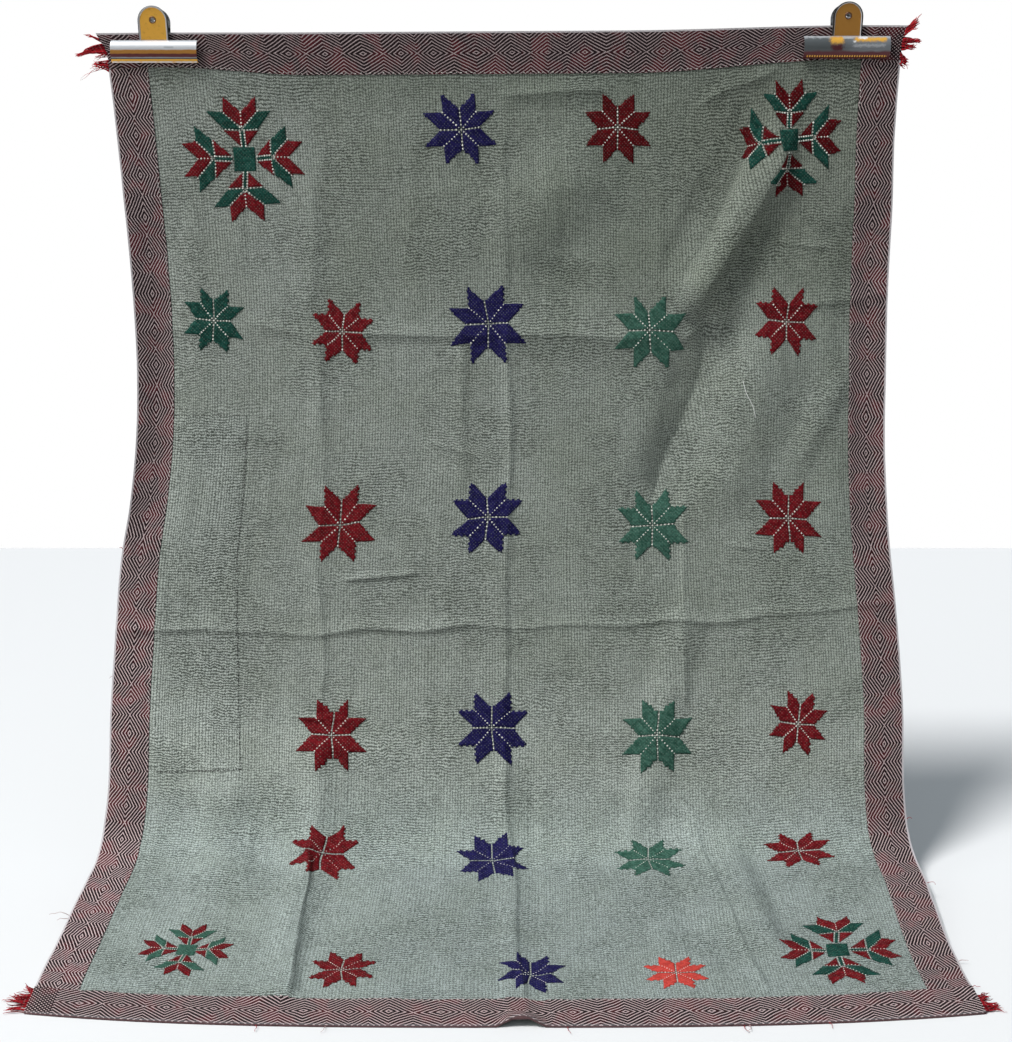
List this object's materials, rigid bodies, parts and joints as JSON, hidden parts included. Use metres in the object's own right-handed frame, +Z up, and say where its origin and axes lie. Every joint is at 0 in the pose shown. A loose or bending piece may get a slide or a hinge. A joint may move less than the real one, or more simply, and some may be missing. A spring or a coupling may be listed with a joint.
{
  "type": "kantha quilt hung from bulldog clips",
  "caption": "Quilted cotton throw with woven borders, hung by its top corners from bulldog clips, its foot spread forward on the floor.",
  "frame": {"origin": "on the floor, at the middle of the space that the hung quilt takes up", "axes": "+Z up, +X across the quilt to its viewer's right, +Y into the wall that the clips hang on"},
  "size_m": [1.4685, 0.673, 1.4906],
  "materials": {
    "quilted_cotton": "sage cotton with dense running stitch",
    "woven_tape": "maroon and pale diamond twill tape",
    "frayed_yarn": "loose red cotton yarn",
    "clip_plating": "bright plated steel with a warm brassy cast",
    "spring_steel": "drawn spring wire"
  },
  "bodies": {
    "root": {"quilt": "quilted_cotton", "border_top": "woven_tape", "border_bottom": "woven_tape", "border_left": "woven_tape", "border_right": "woven_tape", "fray_top_left": "frayed_yarn", "fray_top_right": "frayed_yarn", "fray_bottom_left": "frayed_yarn", "fray_bottom_right": "frayed_yarn", "clip_left_front": "clip_plating", "clip_left_back": "clip_plating", "clip_left_spring": "spring_steel", "clip_right_front": "clip_plating", "clip_right_back": "clip_plating", "clip_right_spring": "spring_steel"}
  },
  "joints": []
}
